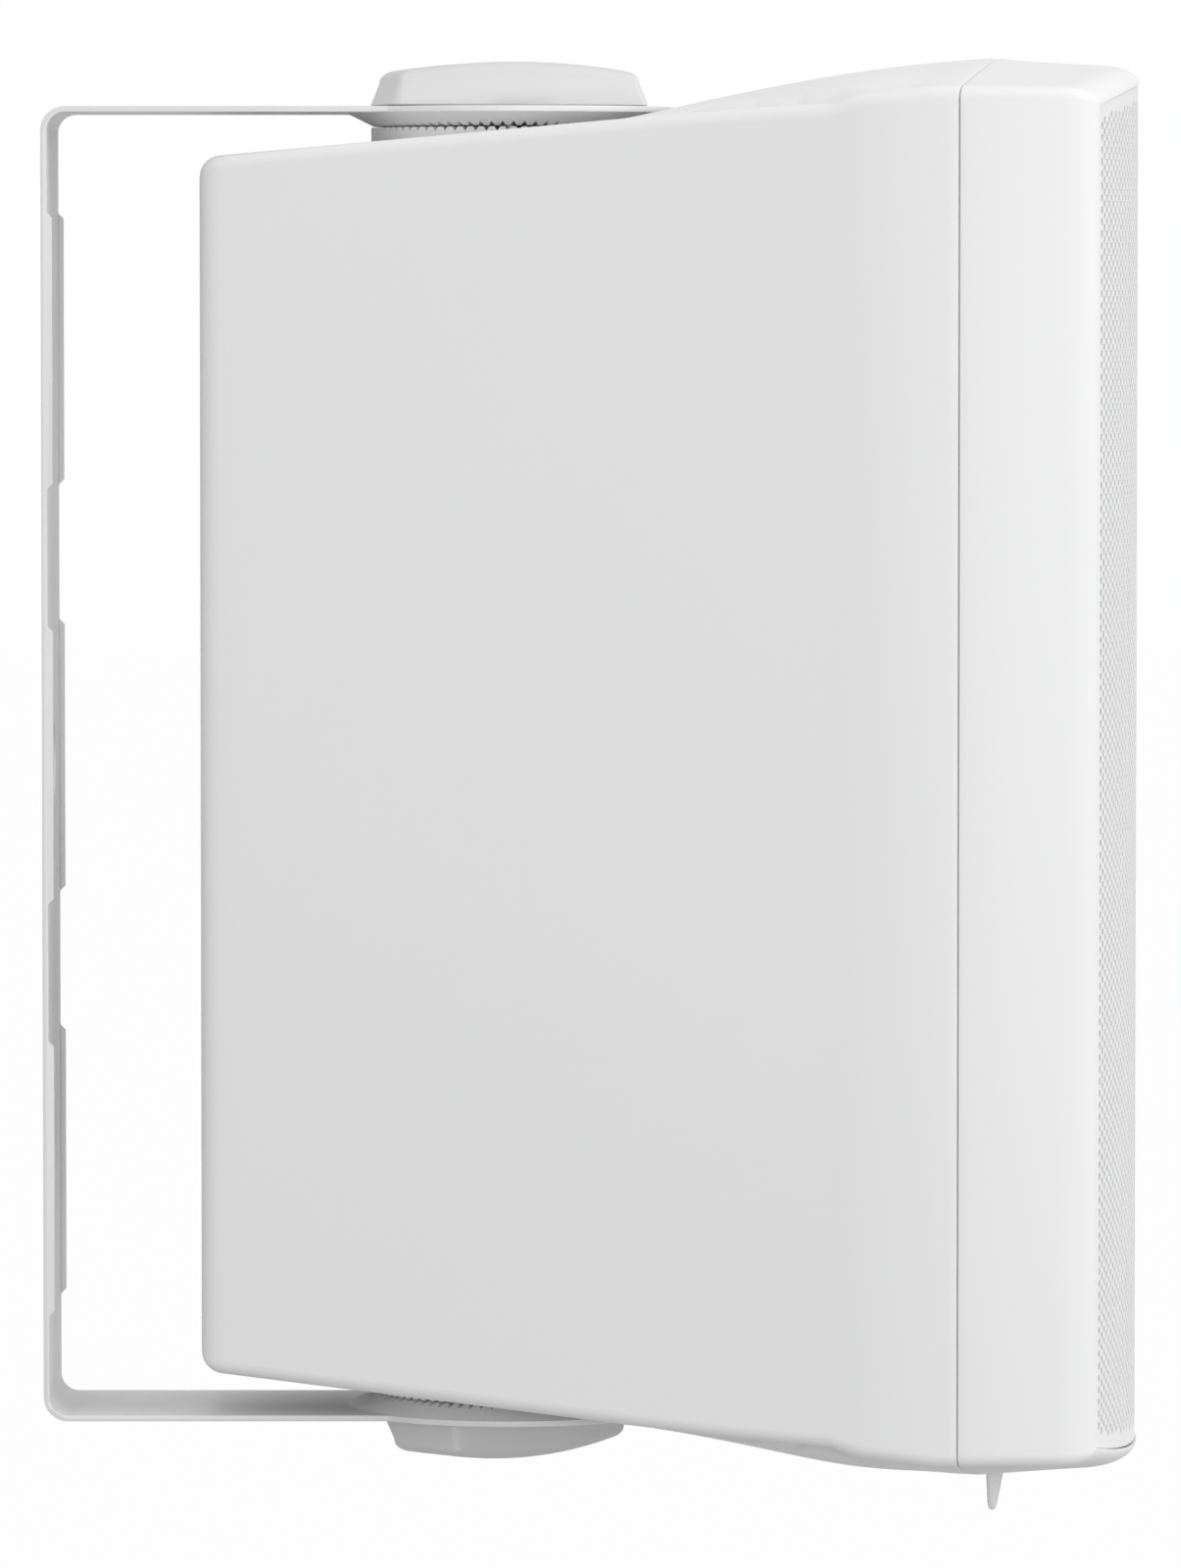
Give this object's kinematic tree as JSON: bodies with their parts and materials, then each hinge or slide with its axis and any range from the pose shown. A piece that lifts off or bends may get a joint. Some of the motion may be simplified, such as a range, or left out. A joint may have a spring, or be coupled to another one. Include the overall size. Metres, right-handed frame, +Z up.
{
  "type": "wall loudspeaker",
  "caption": "Moulded wall loudspeaker with a bowed perforated grille, swivelling in a folded steel U bracket on toothed couplings clamped by bar knobs.",
  "frame": {"origin": "centre of the bracket's wall face, the middle of its wall slots", "axes": "+Z up, -Y out of the wall towards the grille, X across the bracket"},
  "size_m": [0.1902, 0.2688, 0.359],
  "materials": {
    "powder_white": "satin powder coat",
    "white_plastic": "fine satin moulding",
    "steel": "zinc plated",
    "brass": "machined",
    "grey_rubber": "soft seal",
    "black_rubber": "soft",
    "black_cloth": "fine open cloth",
    "spider_cloth": "resin-dipped cloth",
    "cone": "moulded cone",
    "copper": "enamelled wire",
    "ferrite": "sintered",
    "black_plastic": "matte moulding",
    "red_plastic": "gloss moulding",
    "board_green": "solder mask",
    "film_yellow": "film wrap",
    "ceramic_white": "ceramic",
    "fibre_white": "loose fibre"
  },
  "bodies": {
    "bracket": {"bracket": "powder_white", "bracket_disc_top": "white_plastic", "bracket_disc_bottom": "white_plastic"},
    "cabinet": {"cabinet_ring_top": "white_plastic", "cabinet_ring_bottom": "white_plastic", "insert_top": "brass", "insert_bottom": "brass", "cabinet_shell": "white_plastic", "front_bezel": "white_plastic", "seam_gasket": "grey_rubber", "bezel_screws": "steel", "grille": "powder_white", "grille_cloth": "black_cloth", "woofer_basket": "steel", "woofer_gasket": "black_rubber", "woofer_screws": "steel", "woofer_surround": "black_rubber", "woofer_spider": "spider_cloth", "woofer_top_plate": "steel", "woofer_magnet": "ferrite", "woofer_back_plate": "steel", "tweeter_horn": "black_plastic", "tweeter_dome": "cone", "tweeter_motor": "steel", "tweeter_screws": "steel", "port_left": "black_plastic", "port_right": "black_plastic", "terminal_cup": "black_plastic", "terminal_screws": "steel", "post_red": "brass", "post_black": "brass", "tap_switch": "black_plastic", "crossover_board": "board_green", "board_screws": "steel", "inductor": "copper", "capacitor_large": "film_yellow", "capacitor_small": "film_yellow", "resistor": "ceramic_white", "transformer_core": "steel", "transformer_coil": "copper", "transformer_screws": "steel", "wadding": "fibre_white"},
    "washer_top": {"washer_top": "steel"},
    "knob_top": {"knob_top": "white_plastic", "knob_stud_top": "steel"},
    "washer_bottom": {"washer_bottom": "steel"},
    "knob_bottom": {"knob_bottom": "white_plastic", "knob_stud_bottom": "steel"},
    "woofer_cone": {"woofer_cone": "cone", "woofer_dust_cap": "cone", "woofer_voice_coil": "copper"},
    "post_washer_red": {"post_washer_red": "steel"},
    "post_cap_red": {"post_cap_red": "red_plastic"},
    "post_washer_black": {"post_washer_black": "steel"},
    "post_cap_black": {"post_cap_black": "black_plastic"},
    "tap_knob": {"tap_knob": "black_plastic"}
  },
  "joints": [
    {"name": "cabinet_swivel", "type": "hinge", "parent": "bracket", "child": "cabinet", "pos_m": [0, -0.114, 0], "axis": [0, 0, 1], "range_deg": [-90, 90]},
    {"name": "knob_top_turn", "type": "hinge", "parent": "washer_top", "child": "knob_top", "pos_m": [0, -0.114, 0.16], "axis": [0, 0, 1], "range_deg": [0, 1080]},
    {"name": "knob_top_rise", "type": "slide", "parent": "cabinet", "child": "washer_top", "axis": [0, 0, 1], "range_m": [0, 0.00375]},
    {"name": "knob_bottom_turn", "type": "hinge", "parent": "washer_bottom", "child": "knob_bottom", "pos_m": [0, -0.114, -0.16], "axis": [0, 0, -1], "range_deg": [0, 1080]},
    {"name": "knob_bottom_drop", "type": "slide", "parent": "cabinet", "child": "washer_bottom", "axis": [0, 0, -1], "range_m": [0, 0.00375]},
    {"name": "woofer_stroke", "type": "slide", "parent": "cabinet", "child": "woofer_cone", "axis": [0, -1, 0], "range_m": [-0.005, 0.005], "stiffness_N_per_m": 1300, "deforming": ["woofer_surround", "woofer_spider"]},
    {"name": "post_cap_red_turn", "type": "hinge", "parent": "post_washer_red", "child": "post_cap_red", "pos_m": [0.0095, -0.0547, -0.082], "axis": [0, 1, 0], "range_deg": [0, 1080]},
    {"name": "post_cap_red_out", "type": "slide", "parent": "cabinet", "child": "post_washer_red", "axis": [0, 1, 0], "range_m": [0, 0.0024]},
    {"name": "post_cap_black_turn", "type": "hinge", "parent": "post_washer_black", "child": "post_cap_black", "pos_m": [-0.0095, -0.0547, -0.082], "axis": [0, 1, 0], "range_deg": [0, 1080]},
    {"name": "post_cap_black_out", "type": "slide", "parent": "cabinet", "child": "post_washer_black", "axis": [0, 1, 0], "range_m": [0, 0.0024]},
    {"name": "tap_turn", "type": "hinge", "parent": "cabinet", "child": "tap_knob", "pos_m": [0, -0.0627, -0.044], "axis": [0, 1, 0], "range_deg": [0, 150]}
  ],
  "couplings": [
    {"joint": "knob_top_turn", "follows": "knob_top_rise", "rad_per_m": 5026.5},
    {"joint": "knob_bottom_turn", "follows": "knob_bottom_drop", "rad_per_m": 5026.5},
    {"joint": "post_cap_red_turn", "follows": "post_cap_red_out", "rad_per_m": 7854},
    {"joint": "post_cap_black_turn", "follows": "post_cap_black_out", "rad_per_m": 7854}
  ]
}
